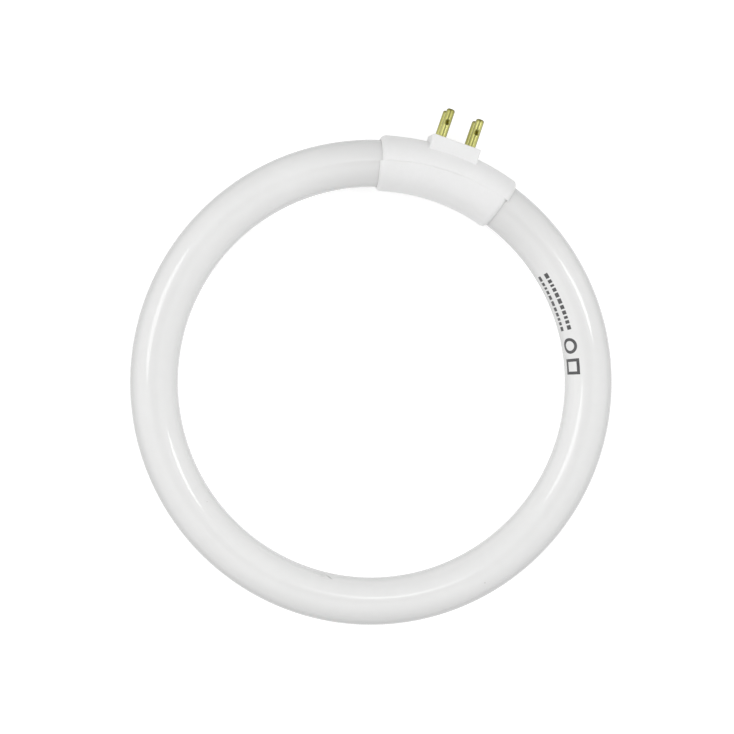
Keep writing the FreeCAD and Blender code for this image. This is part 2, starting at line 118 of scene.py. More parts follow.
def grey(level: float) -> Colour:
    """Return a neutral colour of one linear level."""
    return (level, level, level, 1.0)


class Effect(Enum):
    """The node groups that more than one finish uses."""

    CLOUDED = "clouded_colour"
    GRAIN = "fine_grain"
    SPECKS = "dust_specks"
    RING_PLACE = "place_on_ring"


class NodeSheet:
    """Adds nodes to one tree and joins them."""

    def __init__(self, tree: bpy.types.NodeTree) -> None:
        """Keep the tree that the nodes go into."""
        self.tree = tree

    def fill(self, node: bpy.types.Node, inputs: dict[str | int, Any]) -> None:
        """Set a node's inputs, or join them to other nodes.

        Args:
            node: The node whose inputs are filled.
            inputs: A value or an output socket for each input, by name or place.
        """
        for key, value in inputs.items():
            if isinstance(value, Socket):
                self.tree.links.new(value, node.inputs[key])
            else:
                node.inputs[key].default_value = value

    def add(
        self, kind: str, inputs: dict[str | int, Any] | None = None, **settings: Any
    ) -> bpy.types.Node:
        """Add a node, set its properties, then fill its inputs.

        Args:
            kind: Blender's identifier of the node.
            inputs: What fill takes.
            settings: The node's own properties.

        Returns:
            The new node.
        """
        node = self.tree.nodes.new(kind)
        for name, value in settings.items():
            setattr(node, name, value)
        self.fill(node, inputs or {})
        return node

    def place(self) -> Socket:
        """Return a point's place in its object's own coordinates."""
        return self.add("ShaderNodeTexCoord").outputs["Object"]

    def facing(self) -> Socket:
        """Return how far the surface turns away from the viewer, from 0 to 1."""
        return self.add("ShaderNodeLayerWeight", {"Blend": 0.5}).outputs["Facing"]

    def math(self, operation: str, *terms: Any, clamp: bool = False) -> Socket:
        """Return the result of a Math node on one to three terms."""
        settings = {"operation": operation, "use_clamp": clamp}
        return self.add("ShaderNodeMath", dict(enumerate(terms)), **settings).outputs[0]

    def mix(self, factor: Any, first: Any, second: Any) -> Socket:
        """Return a colour that goes from first to second as the factor goes from 0 to 1."""
        node = self.add("ShaderNodeMix", {0: factor, 6: first, 7: second}, data_type="RGBA")
        return node.outputs[2]

    def ramp(self, value: Any, given: Span, result: Span = UNIT) -> Socket:
        """Carry a value from one span to another, eased, and hold it at both ends.

        Args:
            value: The value, or its socket.
            given: The span that the value moves in.
            result: The span that it is carried to.

        Returns:
            The carried value.
        """
        ends = dict(zip(("From Min", "From Max", "To Min", "To Max"), given + result))
        inputs = {"Value": value, **ends}
        node = self.add("ShaderNodeMapRange", inputs, interpolation_type="SMOOTHSTEP")
        return node.outputs["Result"]

    def group(self, effect: Effect, inputs: dict[str, Any]) -> Sockets:
        """Place a shared effect with its own values, and return its outputs by name."""
        tree = bpy.data.node_groups[effect.value]
        return self.add("ShaderNodeGroup", inputs, node_tree=tree).outputs


class SharedEffects:
    """Builds each shared effect once."""

    fine_ratio: float = 9.0
    cloud_span: Span = (0.32, 0.68)

    def build(self) -> None:
        """Build every group."""
        self._mottle()
        self._grain()
        self._specks()
        self._ring_place()

    @staticmethod
    def _start(
        effect: Effect, inputs: dict[str, tuple[str, Any]], outputs: dict[str, str]
    ) -> tuple[NodeSheet, Sockets, bpy.types.Node]:
        """Open a group with named sockets.

        Args:
            effect: The effect that the group gives.
            inputs: Socket type and default value of each input.
            outputs: Socket type of each output.

        Returns:
            The sheet to add nodes with, the group's inputs and its output node.
        """
        tree = bpy.data.node_groups.new(effect.value, "ShaderNodeTree")
        for label, (kind, default) in inputs.items():
            socket = tree.interface.new_socket(label, in_out="INPUT", socket_type=kind)
            socket.default_value = default
        for label, kind in outputs.items():
            tree.interface.new_socket(label, in_out="OUTPUT", socket_type=kind)
        sheet = NodeSheet(tree)
        return sheet, sheet.add("NodeGroupInput").outputs, sheet.add("NodeGroupOutput")

    def _mottle(self) -> None:
        """Build the group that clouds one colour with another at two scales."""
        sheet, given, out = self._start(
            Effect.CLOUDED,
            {
                "Clear": ("NodeSocketColor", grey(0.8)),
                "Cloud": ("NodeSocketColor", grey(0.7)),
                "Scale": ("NodeSocketFloat", 60.0),
                "Fine Share": ("NodeSocketFloat", 0.3),
            },
            {"Color": "NodeSocketColor", "Mask": "NodeSocketFloat"},
        )
        place = sheet.place()
        fine_scale = sheet.math("MULTIPLY", given["Scale"], self.fine_ratio)
        broad, fine = (
            sheet.add("ShaderNodeTexNoise", {"Vector": place, "Scale": scale, "Detail": detail})
            for scale, detail in ((given["Scale"], 3.0), (fine_scale, 2.0))
        )
        both = sheet.add(
            "ShaderNodeMix",
            {0: given["Fine Share"], 2: broad.outputs["Fac"], 3: fine.outputs["Fac"]},
        )
        mask = sheet.ramp(both.outputs[0], self.cloud_span)
        sheet.fill(out, {"Mask": mask, "Color": sheet.mix(mask, given["Clear"], given["Cloud"])})

    def _grain(self) -> None:
        """Build the group that gives the height of a fine, even surface grain."""
        sheet, given, out = self._start(
            Effect.GRAIN,
            {
                "Scale": ("NodeSocketFloat", 2000.0),
                "Stretch": ("NodeSocketVector", (1.0, 1.0, 1.0)),
            },
            {"Height": "NodeSocketFloat"},
        )
        stretched = sheet.add(
            "ShaderNodeVectorMath", {0: sheet.place(), 1: given["Stretch"]}, operation="MULTIPLY"
        )
        shape = {"Vector": stretched.outputs[0], "Scale": given["Scale"]}
        noise = sheet.add("ShaderNodeTexNoise", {**shape, "Detail": 4.0, "Roughness": 0.6})
        sheet.fill(out, {"Height": noise.outputs["Fac"]})

    def _specks(self) -> None:
        """Build the group that marks a few scattered dust specks."""
        sheet, given, out = self._start(
            Effect.SPECKS,
            {
                "Scale": ("NodeSocketFloat", 300.0),
                "Size": ("NodeSocketFloat", 0.08),
                "Share": ("NodeSocketFloat", 0.2),
            },
            {"Mask": "NodeSocketFloat"},
        )
        shape = {"Vector": sheet.place(), "Scale": given["Scale"]}
        cells = sheet.add("ShaderNodeTexVoronoi", shape).outputs
        chosen = sheet.add("ShaderNodeSeparateColor", {"Color": cells["Color"]})
        near = sheet.math("LESS_THAN", cells["Distance"], given["Size"])
        some = sheet.math("LESS_THAN", chosen.outputs["Red"], given["Share"])
        sheet.fill(out, {"Mask": sheet.math("MULTIPLY", near, some)})

    def _ring_place(self) -> None:
        """Build the group that gives a point's place on the bent tube.

        Along is the turn from the cap towards +X and Across the turn round the tube from its
        top, outwards. Both are in degrees.
        """
        sheet, given, out = self._start(
            Effect.RING_PLACE,
            {"Ring Radius": ("NodeSocketFloat", 0.0555)},
            {"Along": "NodeSocketFloat", "Across": "NodeSocketFloat"},
        )
        place = sheet.place()
        axes = sheet.add("ShaderNodeSeparateXYZ", {0: place}).outputs
        level = {0: place, 1: (1.0, 1.0, 0.0)}
        flat = sheet.add("ShaderNodeVectorMath", level, operation="MULTIPLY")
        reach = sheet.add("ShaderNodeVectorMath", {0: flat.outputs[0]}, operation="LENGTH")
        outwards = sheet.math("SUBTRACT", reach.outputs["Value"], given["Ring Radius"])
        along = sheet.math("DEGREES", sheet.math("ARCTAN2", axes["X"], axes["Y"]))
        across = sheet.math("DEGREES", sheet.math("ARCTAN2", outwards, axes["Z"]))
        sheet.fill(out, {"Along": along, "Across": across})


def length_of(sheet: NodeSheet, *parts: Any) -> Socket:
    """Return the length of a line from its two parts at right angles."""
    squares = (sheet.math("MULTIPLY", part, part) for part in parts)
    return sheet.math("SQRT", sheet.math("ADD", *squares))


@dataclass(frozen=True)
class Clouding:
    """One colour, clouded with another."""

    clear: Colour
    cloud: Colour
    scale: float
    fine_share: float

    def spread(self, sheet: NodeSheet) -> Sockets:
        """Return the clouded Color, and the Mask that is 1 in the clouds."""
        inputs = {"Clear": self.clear, "Cloud": self.cloud, "Scale": self.scale}
        return sheet.group(Effect.CLOUDED, {**inputs, "Fine Share": self.fine_share})


@dataclass(frozen=True)
class Dust:
    """A few scattered specks on a finish."""

    colour: Colour
    scale: float
    size: float
    share: float
    strength: float

    def over(self, sheet: NodeSheet, tone: Socket) -> Socket:
        """Lay the specks on a clean tone.

        Args:
            sheet: The material's nodes.
            tone: The clean tone.

        Returns:
            The tone with the specks on it.
        """
        shape = {"Scale": self.scale, "Size": self.size, "Share": self.share}
        specks = sheet.group(Effect.SPECKS, shape)["Mask"]
        return sheet.mix(sheet.math("MULTIPLY", specks, self.strength), tone, self.colour)


@dataclass(frozen=True)
class Relief:
    """The fine unevenness of a surface."""

    scale: float
    strength: float
    depth: float
    stretch: tuple[float, float, float] = (1.0, 1.0, 1.0)

    def normal(self, sheet: NodeSheet) -> Socket:
        """Roughen a surface.

        Args:
            sheet: The material's nodes.

        Returns:
            The uneven surface's normal.
        """
        grain = sheet.group(Effect.GRAIN, {"Scale": self.scale, "Stretch": self.stretch})
        shape = {"Height": grain["Height"], "Strength": self.strength, "Distance": self.depth}
        return sheet.add("ShaderNodeBump", shape).outputs["Normal"]


@dataclass(frozen=True)
class Spot:
    """An oval place on the tube, in degrees along the ring and round the tube."""

    along: float
    across: float
    half_length: float
    half_width: float
    lean: float = 0.0

    def locate(self, sheet: NodeSheet, place: Sockets) -> tuple[Socket, Socket, Socket]:
        """Find a point's place in the spot, whose rim is at 1.

        Args:
            sheet: The material's nodes.
            place: The point's place on the ring.

        Returns:
            How far along and across the point lies from the spot's centre, and its distance.
        """
        beyond = sheet.math("SUBTRACT", place["Along"], self.along)
        aside = sheet.math("SUBTRACT", place["Across"], self.across)
        run = sheet.math("DIVIDE", beyond, self.half_length)
        leant = sheet.math("MULTIPLY_ADD", beyond, self.lean, aside)
        side = sheet.math("DIVIDE", leant, self.half_width)
        return run, side, length_of(sheet, run, side)


@dataclass(frozen=True)
class PrintedMarks:
    """Plain rating marks on the tube: two rows of short bars, a ring and a square.

    Angles along the ring run from the cap, and angles across the tube from its top.
    """

    first_bar: float = 38.4
    last_bar: float = 56.0
    upper_row: float = -42.0
    lower_row: float = -66.0
    row_height: float = 11.0
    bars_per_degree: float = 0.62
    bar_gap: float = 0.15
    ring_at: float = 60.6
    square_at: float = 66.6
    shape_row: float = -52.0
    shape_reach: float = 17.0
    line_width: float = 8.0

    def mask(self, sheet: NodeSheet, place: Sockets, slimness: float) -> Socket:
        """Draw the ink.

        Args:
            sheet: The material's nodes.
            place: A point's place on the ring.
            slimness: Ring radius over tube radius, to draw shapes undistorted.

        Returns:
            A socket that is 1 where there is ink.
        """
        along, across = place["Along"], place["Across"]
        cells = sheet.add(
            "ShaderNodeTexVoronoi",
            {"W": along, "Scale": self.bars_per_degree},
            voronoi_dimensions="1D",
            feature="DISTANCE_TO_EDGE",
        )
        bars = sheet.math("GREATER_THAN", cells.outputs["Distance"], self.bar_gap)
        half_run = (self.last_bar - self.first_bar) / 2
        run = sheet.math("COMPARE", along, self.first_bar + half_run, half_run)
        upper, lower = (
            sheet.math("COMPARE", across, row, self.row_height / 2)
            for row in (self.upper_row, self.lower_row)
        )
        dashes = sheet.math("MULTIPLY", bars, run)
        rows = sheet.math("MULTIPLY", dashes, sheet.math("ADD", upper, lower))
        aside = sheet.math("ABSOLUTE", sheet.math("SUBTRACT", across, self.shape_row))
        ring_run, square_run = (
            sheet.math("MULTIPLY", sheet.math("ABSOLUTE", offset), slimness)
            for offset in (
                sheet.math("SUBTRACT", along, centre) for centre in (self.ring_at, self.square_at)
            )
        )
        ring, square = (
            sheet.math("COMPARE", distance, self.shape_reach, self.line_width / 2)
            for distance in (
                length_of(sheet, ring_run, aside), sheet.math("MAXIMUM", square_run, aside)
            )
        )
        return sheet.math("ADD", rows, sheet.math("ADD", ring, square), clamp=True)


class Finish(ABC):
    """The look of one kind of surface."""

    label: str

    def material(self) -> Material:
        """Make the finish's material.

        Returns:
            The material.
        """
        material = bpy.data.materials.new(self.label)
        material.use_nodes = True
        sheet = NodeSheet(material.node_tree)
        shader = material.node_tree.nodes["Principled BSDF"]
        sheet.fill(shader, self.inputs(sheet))
        return material

    @abstractmethod
    def inputs(self, sheet: NodeSheet) -> dict[str, Any]:
        """Add the finish's nodes.

        Args:
            sheet: The material's nodes.

        Returns:
            A value or a socket for each input of the Principled shader that is used.
        """


@dataclass(frozen=True)
class PhosphorGlass(Finish):
    """White phosphor seen through the glossy outside of the glass tube, with painted shade along
    its limb.
    """

    label = "phosphor_glass"
    ring_radius: float
    tube_radius: float
    body: Clouding = Clouding((0.815, 0.815, 0.81, 1.0), (0.795, 0.795, 0.79, 1.0), 45.0, 0.35)
    smear: Clouding = Clouding(grey(0.0), grey(1.0), 22.0, 0.2)
    dust: Dust = Dust((0.5, 0.49, 0.47, 1.0), 260.0, 0.05, 0.12, 0.55)
    wave: Relief = Relief(90.0, 0.05, 0.2 * MM)
    marks: PrintedMarks = PrintedMarks()
    end_tone: Colour = (0.72, 0.72, 0.716, 1.0)
    end_span: Span = (16.0, 45.0)
    end_share: Span = (0.9, 0.0)
    # Painted shade: the tone that the tube is darkened to at its limb, where it turns away from
    # the viewer.
    limb_shade_tone: Colour = (0.6, 0.605, 0.6, 1.0)
    limb_shade_span: Span = (0.25, 0.75)
    limb_shade_share: Span = (0.0, 0.7)
    ink: Colour = (0.035, 0.035, 0.038, 1.0)
    ink_wear: Span = (0.98, 0.92)
    ink_roughness: float = 0.3
    gloss: Span = (0.06, 0.1)
    refraction: float = 1.5
    scuff_tone: Colour = (0.4, 0.4, 0.39, 1.0)
    scuff_lines: Spot = Spot(176.0, -58.0, 3.8, 14.0)
    lines_across: float = 4.0
    lines_scale: float = 1.4
    lines_edge: Span = (0.5, 0.58)
    lines_fade: Span = (0.4, 1.0)
    lines_share: Span = (0.4, 0.0)
    scuff_dot: Spot = Spot(174.3, -57.5, 1.3, 5.0, lean=5.5)
    dot_fade: Span = (0.2, 1.0)
    dot_share: Span = (0.7, 0.0)

    def inputs(self, sheet: NodeSheet) -> dict[str, Any]:
        """Add the glass's nodes.

        Args:
            sheet: The material's nodes.

        Returns:
            The shader's inputs.
        """
        body = self.body.spread(sheet)
        place = sheet.group(Effect.RING_PLACE, {"Ring Radius": self.ring_radius})
        from_cap = sheet.math("ABSOLUTE", place["Along"])
        near_cap = sheet.ramp(from_cap, self.end_span, self.end_share)
        tone = sheet.mix(near_cap, body["Color"], self.end_tone)
        # Painted shade: darken the tube towards its limb, where the surface turns away from the
        # viewer.
        limb_shade = sheet.ramp(sheet.facing(), self.limb_shade_span, self.limb_shade_share)
        tone = sheet.mix(limb_shade, tone, self.limb_shade_tone)
        tone = sheet.mix(self._scuff(sheet, place), tone, self.scuff_tone)
        tone = self.dust.over(sheet, tone)
        ink = self.marks.mask(sheet, place, self.ring_radius / self.tube_radius)
        worn = sheet.math("MULTIPLY", ink, sheet.ramp(body["Mask"], UNIT, self.ink_wear))
        gloss = sheet.ramp(self.smear.spread(sheet)["Mask"], UNIT, self.gloss)
        return {
            "Base Color": sheet.mix(worn, tone, self.ink),
            "Roughness": sheet.math("MULTIPLY_ADD", worn, self.ink_roughness, gloss),
            "Normal": self.wave.normal(sheet),
            "IOR": self.refraction,
        }

    def _scuff(self, sheet: NodeSheet, place: Sockets) -> Socket:
        """Draw the rubbed spot on the ring's inner side: faint lines beside a leaning dot.

        Args:
            sheet: The material's nodes.
            place: A point's place on the ring.

        Returns:
            The spot's mask.
        """
        run, side, distance = self.scuff_lines.locate(sheet, place)
        drawn_out = {"X": run, "Y": sheet.math("MULTIPLY", side, self.lines_across)}
        flow = sheet.add("ShaderNodeCombineXYZ", drawn_out).outputs["Vector"]
        shape = {"Vector": flow, "Scale": self.lines_scale, "Detail": 1.0}
        noise = sheet.add("ShaderNodeTexNoise", shape).outputs["Fac"]
        fade = sheet.ramp(distance, self.lines_fade, self.lines_share)
        lines = sheet.math("MULTIPLY", fade, sheet.ramp(noise, self.lines_edge))
        from_dot = self.scuff_dot.locate(sheet, place)[2]
        return sheet.math("MAXIMUM", lines, sheet.ramp(from_dot, self.dot_fade, self.dot_share))


@dataclass(frozen=True)
class MouldedPlastic(Finish):
    """White moulded plastic with a fine satin skin."""

    label = "moulded_plastic"
    body: Clouding = Clouding(grey(0.825), (0.805, 0.805, 0.802, 1.0), 110.0, 0.3)
    dust: Dust = Dust((0.55, 0.54, 0.52, 1.0), 420.0, 0.06, 0.08, 0.5)
    skin: Relief = Relief(2600.0, 0.12, 0.05 * MM)
    gloss: Span = (0.28, 0.36)
    refraction: float = 1.49

    def inputs(self, sheet: NodeSheet) -> dict[str, Any]:
        """Add the plastic's nodes.

        Args:
            sheet: The material's nodes.

        Returns:
            The shader's inputs.
        """
        body = self.body.spread(sheet)
        return {
            "Base Color": self.dust.over(sheet, body["Color"]),
            "Roughness": sheet.ramp(body["Mask"], UNIT, self.gloss),
            "Normal": self.skin.normal(sheet),
            "IOR": self.refraction,
        }


@dataclass(frozen=True)
class TurnedBrass(Finish):
    """Brass of the turned and crimped contact pins, with painted shade at the tips, in the crimps
    and along the limbs.
    """

    label = "turned_brass"
    tip: float
    body: Clouding = Clouding((0.46, 0.455, 0.17, 1.0), (0.38, 0.37, 0.12, 1.0), 220.0, 0.1)
    turning: Relief = Relief(2500.0, 0.02, 0.01 * MM, stretch=(0.1, 4.0, 0.1))
    # Painted shade: the tone that the pins are darkened to at their limbs, where they turn away
    # from the viewer.
    limb_shade_tone: Colour = (0.14, 0.13, 0.025, 1.0)
    limb_shade_span: Span = (0.3, 0.85)
    limb_shade_share: Span = (0.0, 0.9)
    # Painted shade: the dark tone laid in the crimps and on the rounded tips.
    painted_shade_tone: Colour = (0.09, 0.077, 0.003, 1.0)
    pressed_mark: str = "pressed"
    pressed_gain: float = 1.1
    tip_fade: float = 1.1 * MM
    tip_share: Span = (0.0, 0.8)
    gloss: Span = (0.31, 0.35)
    dark_roughness: float = 0.1

    def inputs(self, sheet: NodeSheet) -> dict[str, Any]:
        """Add the brass's nodes.

        Args:
            sheet: The material's nodes.

        Returns:
            The shader's inputs.
        """
        body = self.body.spread(sheet)
        # Painted shade: darken the pins towards their limbs.
        limb_shade = sheet.ramp(sheet.facing(), self.limb_shade_span, self.limb_shade_share)
        tone = sheet.mix(limb_shade, body["Color"], self.limb_shade_tone)
        # Painted shade: dark in the crimp as deep as it is pressed, and on the last stretch before
        # the tip.
        depth = sheet.add("ShaderNodeAttribute", attribute_name=self.pressed_mark).outputs["Fac"]
        pressed = sheet.math("MULTIPLY", depth, self.pressed_gain, clamp=True)
        along = sheet.add("ShaderNodeSeparateXYZ", {0: sheet.place()}).outputs["Y"]
        ends = sheet.ramp(along, (self.tip - self.tip_fade, self.tip), self.tip_share)
        painted_tip_and_crimp_shade = sheet.math("MAXIMUM", pressed, ends)
        worn = sheet.ramp(body["Mask"], UNIT, self.gloss)
        return {
            "Base Color": sheet.mix(painted_tip_and_crimp_shade, tone, self.painted_shade_tone),
            "Roughness": sheet.math("MULTIPLY_ADD", painted_tip_and_crimp_shade, self.dark_roughness, worn),
            "Normal": self.turning.normal(sheet),
            "Metallic": 1.0,
        }


@dataclass(frozen=True)
class DrawnWire(Finish):
    """Dull drawn metal of the lead wires inside the cap."""

    label = "drawn_wire"
    body: Clouding = Clouding((0.6, 0.57, 0.53, 1.0), (0.42, 0.38, 0.34, 1.0), 600.0, 0.4)
    gloss: Span = (0.35, 0.5)

    def inputs(self, sheet: NodeSheet) -> dict[str, Any]:
        """Add the wire's nodes.

        Args:
            sheet: The material's nodes.

        Returns:
            The shader's inputs.
        """
        body = self.body.spread(sheet)
        rough = sheet.ramp(body["Mask"], UNIT, self.gloss)
        return {"Base Color": body["Color"], "Roughness": rough, "Metallic": 1.0}


@dataclass(frozen=True)
class PaleFloor(Finish):
    """Matt studio floor, palest inside the ring, that keeps the lamp's soft shadow.

    It changes between two shares of the ring's radius. Only viewer and reflections see its glow.
    """

    label = "pale_floor"
    ring_radius: float
    inside: Clouding = Clouding(grey(0.69), grey(0.67), 8.0, 0.3)
    outside: Colour = grey(0.3)
    change: Span = (0.8, 1.3)
    glow: Span = (0.57, 0.84)
    roughness: float = 0.9

    def inputs(self, sheet: NodeSheet) -> dict[str, Any]:
        """Add the nodes of a floor that looks white where the lamp casts no shadow.

        Args:
            sheet: The material's nodes.

        Returns:
            The shader's inputs.
        """
        inside = self.inside.spread(sheet)["Color"]
        lengths = sheet.add("ShaderNodeVectorMath", {0: sheet.place()}, operation="LENGTH")
        reach = lengths.outputs["Value"]
        edges = (self.ring_radius * self.change[0], self.ring_radius * self.change[1])
        rays = sheet.add("ShaderNodeLightPath").outputs
        seen = sheet.math("ADD", rays["Is Camera Ray"], rays["Is Glossy Ray"], clamp=True)
        seen = sheet.math("ADD", seen, rays["Is Transmission Ray"], clamp=True)
        glow = sheet.math("MULTIPLY", seen, sheet.ramp(reach, edges, self.glow))
        return {
            "Base Color": sheet.mix(sheet.ramp(reach, edges), inside, self.outside),
            "Roughness": self.roughness,
            "Specular IOR Level": 0.0,
            "Emission Color": grey(1.0),
            "Emission Strength": glow,
        }


def link_object(name: str, data: bpy.types.ID) -> bpy.types.Object:
    """Put an object of these data into the scene.

    Args:
        name: The object's name.
        data: Its mesh, camera or light.

    Returns:
        The object.
    """
    holder = bpy.data.objects.new(name, data)
    bpy.context.scene.collection.objects.link(holder)
    return holder


def mesh_object(name: str, solid: Solid) -> bpy.types.Object:
    """Put a mesh into the scene.

    Args:
        name: Name of the object and its mesh.
        solid: The mesh; it is used up.

    Returns:
        The object.
    """
    mesh = bpy.data.meshes.new(name)
    solid.to_mesh(mesh)
    solid.free()
    return link_object(name, mesh)


def round_off(
    solid: Solid, geom: list[Any], radius: float, steps: int, affect: str = "EDGES"
) -> None:
    """Round edges, or the corners of an outline, to a radius in a number of steps."""
    bmesh.ops.bevel(
        solid, geom=geom, offset=radius, offset_type="OFFSET", affect=affect, segments=steps,
        profile=0.5, material=-1,
    )


def combine(base: Solid, tool: Solid, joining: Joining) -> Solid:
    """Join or cut one closed solid with another.

    Args:
        base: The solid that is changed; it is used up.
        tool: The solid that is added or cut away; it is used up.
        joining: Whether the tool is added or cut away.

    Returns:
        The new solid.
    """
    carriers = []
    for solid in (base, tool):
        bmesh.ops.recalc_face_normals(solid, faces=solid.faces)
        carriers.append(mesh_object("work_solid", solid))
    modifier = carriers[0].modifiers.new("joining", "BOOLEAN")
    modifier.operation = joining.value
    modifier.solver = "EXACT"
    modifier.object = carriers[1]
    result = bmesh.new()
    result.from_object(carriers[0], bpy.context.evaluated_depsgraph_get())
    for carrier in carriers:
        mesh = carrier.data
        bpy.data.objects.remove(carrier)
        bpy.data.meshes.remove(mesh)
    return result


def upright_at(radius: float) -> Matrix:
    """Return the place of a section that stands upright on +X at a radius."""
    return Matrix.Translation((radius, 0.0, 0.0)) @ Matrix.Rotation(pi / 2, 4, "X")


def open_edges(solid: Solid) -> list[bmesh.types.BMEdge]:
    """Return the edges that have a face on one side only."""
    return [edge for edge in solid.edges if edge.is_boundary]


def spin_section(solid: Solid, first: float, span: float, steps: int) -> None:
    """Spin a closed section that stands on +X about the ring's axis, into a bar with open ends.

    Args:
        solid: The mesh with the section's edges.
        first: Angle from +X at which the bar starts.
        span: Angle that the bar covers.
        steps: Number of steps along the bar.
    """
    start = Matrix.Rotation(radians(first), 4, "Z")
    bmesh.ops.transform(solid, matrix=start, verts=solid.verts)
    bmesh.ops.spin(
        solid, geom=solid.verts[:] + solid.edges[:], cent=(0, 0, 0), axis=(0, 0, 1),
        angle=radians(span), steps=steps, use_merge=False, use_duplicate=False,
    )


def turn_section(solid: Solid, span: float, steps: int) -> None:
    """Spin a closed section that stands on +X into a bent bar about +Y and close its ends.

    Args:
        solid: The mesh with the section's edges.
        span: Angle that the bar covers, half of it on each side of +Y.
        steps: Number of steps along the bar.
    """
    spin_section(solid, CAP_ANGLE - span / 2, span, steps)
    bmesh.ops.holes_fill(solid, edges=open_edges(solid), sides=0)


def quarter_round(land: float, radius: float, steps: int) -> list[tuple[float, float]]:
    """Return the steps of a rounded end: how far out each one is, and its radius."""
    angles = [pi / 2 * step / steps for step in range(1, steps + 1)]
    return [(radius * sin(angle), land + radius * cos(angle)) for angle in angles]


def close_ends(
    solid: Solid, ring: float, radius: float, turn: float, facing: int,
    profile: list[tuple[float, float]],
) -> None:
    """Draw both open ends of a bent round bar out in steps and close them.

    Args:
        solid: The bar's mesh.
        ring: Radius of the bar's centre-line.
        radius: Radius of the bar's section.
        turn: Angle of both ends from +Y, in radians.
        facing: 1 if the ends face away from +Y, -1 if they face it.
        profile: How far out each step is, and its radius.
    """
    rims = open_edges(solid)
    for side in (-1, 1):
        rim = [edge for edge in rims if side * edge.verts[0].co.x > 0]
        here = Vector((side * sin(turn), cos(turn), 0.0)) * ring
        outwards = Vector((side * cos(turn), -sin(turn), 0.0)) * facing
        travelled, width = 0.0, radius
        for advance, wanted in profile:
            grown = bmesh.ops.extrude_edge_only(solid, edges=rim)["geom"]
            verts = [item for item in grown if isinstance(item, bmesh.types.BMVert)]
            rim = [item for item in grown if isinstance(item, bmesh.types.BMEdge)]
            shrink = Vector.Fill(3, wanted / width)
            about = Matrix.Translation(-here - outwards * travelled)
            bmesh.ops.scale(solid, vec=shrink, space=about, verts=verts)
            bmesh.ops.translate(solid, vec=outwards * (advance - travelled), verts=verts)
            travelled, width = advance, wanted
        bmesh.ops.contextual_create(solid, geom=rim)


def set_out(solid: Solid, material: Material, node: str) -> None:
    """Make a finished piece of a mesh, in place of its CAD node.

    Args:
        solid: The piece's mesh, in its place; it is used up.
        material: The piece's finish.
        node: The CAD node that the piece stands for.
    """
    bmesh.ops.remove_doubles(solid, verts=solid.verts, dist=WELD)
    bmesh.ops.recalc_face_normals(solid, faces=solid.faces)
    piece = mesh_object(f"{node}_fine", solid)
    mesh = piece.data
    mesh.shade_smooth()
    mesh.set_sharp_from_angle(angle=radians(CREASE))
    mesh.materials.append(material)
    piece.modifiers.new("even_shading", "WEIGHTED_NORMAL").keep_sharp = True
    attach(piece, ROOT_BODY)
    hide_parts(node)
    LOG.info("%s: %d faces in place of %s", piece.name, len(mesh.polygons), node)


@dataclass
class GlassTube:
    """The bent glass tube, sealed at both ends with a tipped-off exhaust stub."""

    ring_radius: float
    tube_radius: float
    end_gap: float = 16.0 * MM
    end_round: float = 1.8 * MM
    stub_radius: float = 1.3 * MM
    stub_length: float = 3.2 * MM
    sides: int = 80
    steps: int = 360
    round_steps: int = 5

    def build(self, material: Material) -> None:
        """Build and dress the tube.

        Args:
            material: The glass finish.
        """
        tube = bmesh.new()
        bmesh.ops.create_circle(
            tube, segments=self.sides, radius=self.tube_radius, matrix=upright_at(self.ring_radius)
        )
        end_turn = degrees((self.end_gap / 2 + self.end_round) / self.ring_radius)
        spin_section(tube, CAP_ANGLE + end_turn, FULL_TURN - 2 * end_turn, self.steps)
        turn = radians(end_turn)
        close_ends(tube, self.ring_radius, self.tube_radius, turn, -1, self._end_profile())
        set_out(tube, material, "glass_tube")

    def _end_profile(self) -> list[tuple[float, float]]:
        """Shape a sealed end: its rounded shoulder, then the exhaust stub.

        Returns:
            How far out each step of the end is, and its radius.
        """
        land = self.tube_radius - self.end_round
        shoulder = quarter_round(land, self.end_round, self.round_steps)
        dome_start = self.end_round + self.stub_length - self.stub_radius
        dome = quarter_round(0.0, self.stub_radius, self.round_steps)[:-1]
        stub = [(self.end_round, self.stub_radius), (dome_start, self.stub_radius)]
        return shoulder + stub + [(dome_start + advance, radius) for advance, radius in dome]


